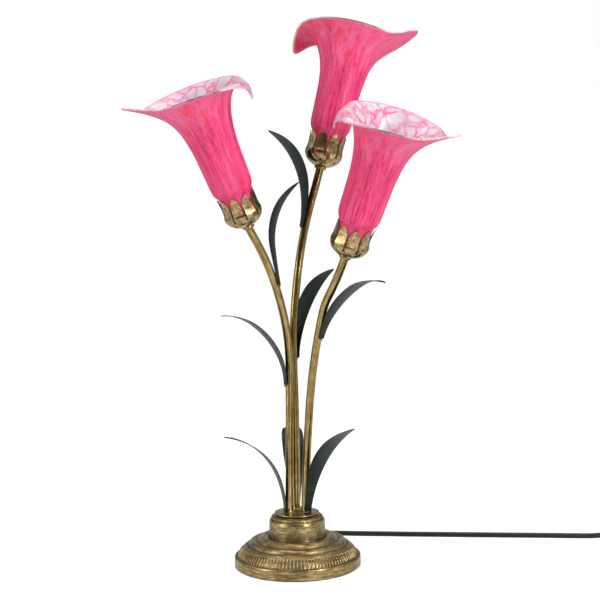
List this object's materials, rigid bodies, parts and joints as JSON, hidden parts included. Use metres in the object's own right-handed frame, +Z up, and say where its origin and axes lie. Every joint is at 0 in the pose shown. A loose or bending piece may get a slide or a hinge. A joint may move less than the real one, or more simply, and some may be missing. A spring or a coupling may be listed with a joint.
{
  "type": "calla lily accent lamp",
  "caption": "Table accent lamp with calla lily flowers of pink blown glass on bent brass stems with leaves, a weighted round foot and an in-line rocker switch.",
  "frame": {"origin": "centre of the foot's pad on the table", "axes": "+Z up, the lamp's front faces -Y, +X is the viewer's right"},
  "size_m": [0.6687, 0.2709, 0.5403],
  "materials": {
    "antique_brass": "brushed antique brass with a dark patina in the grooves, lacquered satin",
    "leaf_patina": "dark green-grey patina with fine lengthwise brush lines, satin",
    "pink_glass": "blown art glass, rose pink with red and lilac streaks outside and pale inside, glossy",
    "bulb_glass": "white frosted glass",
    "nickel": "bright nickel plate",
    "steel": "zinc-plated steel",
    "bright_brass": "plain turned brass",
    "iron": "rough cast iron",
    "felt": "dark felt",
    "black_metal": "black enamel, matt",
    "holder_plastic": "moulded cream phenolic, matt",
    "splice_plastic": "moulded nylon",
    "lead_cover": "thin plastic insulation",
    "cord_cover": "smooth flexible cord cover, satin",
    "switch_plastic": "moulded plastic with a fine grain"
  },
  "bodies": {
    "lamp": {"base_shell": "antique_brass", "base_pad": "felt", "base_weight": "iron", "clamp_pipe": "bright_brass", "clamp_nut": "bright_brass", "clamp_washer": "steel", "spacer_ring": "black_metal", "stem_disc": "antique_brass", "wire_splice": "splice_plastic", "base_lead": "cord_cover", "cord_relief": "switch_plastic", "stem_left": "antique_brass", "stem_centre": "antique_brass", "stem_right": "antique_brass", "lead_left": "lead_cover", "lead_centre": "lead_cover", "lead_right": "lead_cover", "leaf_foot_left": "leaf_patina", "leaf_foot_back": "leaf_patina", "leaf_foot_right": "leaf_patina", "leaf_low_left": "leaf_patina", "leaf_low_centre": "leaf_patina", "leaf_low_right": "leaf_patina", "leaf_high_left": "leaf_patina", "leaf_high_centre": "leaf_patina", "collar_left": "antique_brass", "collar_centre": "antique_brass", "collar_right": "antique_brass", "cup_left": "antique_brass", "cup_centre": "antique_brass", "cup_right": "antique_brass", "cup_nuts": "bright_brass", "holder_left": "holder_plastic", "holder_centre": "holder_plastic", "holder_right": "holder_plastic", "screw_shells": "nickel", "centre_contacts": "bright_brass", "power_cord": "cord_cover", "switch_bottom": "switch_plastic", "switch_top": "switch_plastic", "switch_contacts": "bright_brass", "switch_screws": "steel", "cord_middle": "cord_cover", "cord_coil": "cord_cover", "cord_tail": "cord_cover", "plug_body": "cord_cover", "plug_blades": "nickel"},
    "rocker": {"switch_rocker": "switch_plastic"},
    "left_shade": {"throat_left": "pink_glass", "shade_left": "pink_glass"},
    "left_bulb": {"bulb_cap_left": "nickel", "bulb_glass_left": "bulb_glass"},
    "centre_shade": {"throat_centre": "pink_glass", "shade_centre": "pink_glass"},
    "centre_bulb": {"bulb_cap_centre": "nickel", "bulb_glass_centre": "bulb_glass"},
    "right_shade": {"throat_right": "pink_glass", "shade_right": "pink_glass"},
    "right_bulb": {"bulb_cap_right": "nickel", "bulb_glass_right": "bulb_glass"}
  },
  "joints": [
    {"name": "left_shade_lift", "type": "slide", "parent": "lamp", "child": "left_shade", "axis": [-0.3397, -0.3059, 0.8894], "range_m": [0, 0.11]},
    {"name": "left_bulb_turn", "type": "hinge", "parent": "lamp", "child": "left_bulb", "pos_m": [-0.04188, -0.02945, 0.33918], "axis": [-0.3397, -0.3059, 0.8894], "range_deg": [0, 1080]},
    {"name": "centre_shade_lift", "type": "slide", "parent": "lamp", "child": "centre_shade", "axis": [0.2553, 0.0089, 0.9668], "range_m": [0, 0.11]},
    {"name": "centre_bulb_turn", "type": "hinge", "parent": "lamp", "child": "centre_bulb", "pos_m": [0.03049, 0.01508, 0.39919], "axis": [0.2553, 0.0089, 0.9668], "range_deg": [0, 1080]},
    {"name": "right_shade_lift", "type": "slide", "parent": "lamp", "child": "right_shade", "axis": [0.3013, -0.3856, 0.8721], "range_m": [0, 0.11]},
    {"name": "right_bulb_turn", "type": "hinge", "parent": "lamp", "child": "right_bulb", "pos_m": [0.05122, -0.05318, 0.308], "axis": [0.3013, -0.3856, 0.8721], "range_deg": [0, 1080]},
    {"name": "rocker_press", "type": "hinge", "parent": "lamp", "child": "rocker", "pos_m": [0.386, 0.076, 0.012], "axis": [0, 1, 0], "range_deg": [0, 18]}
  ]
}
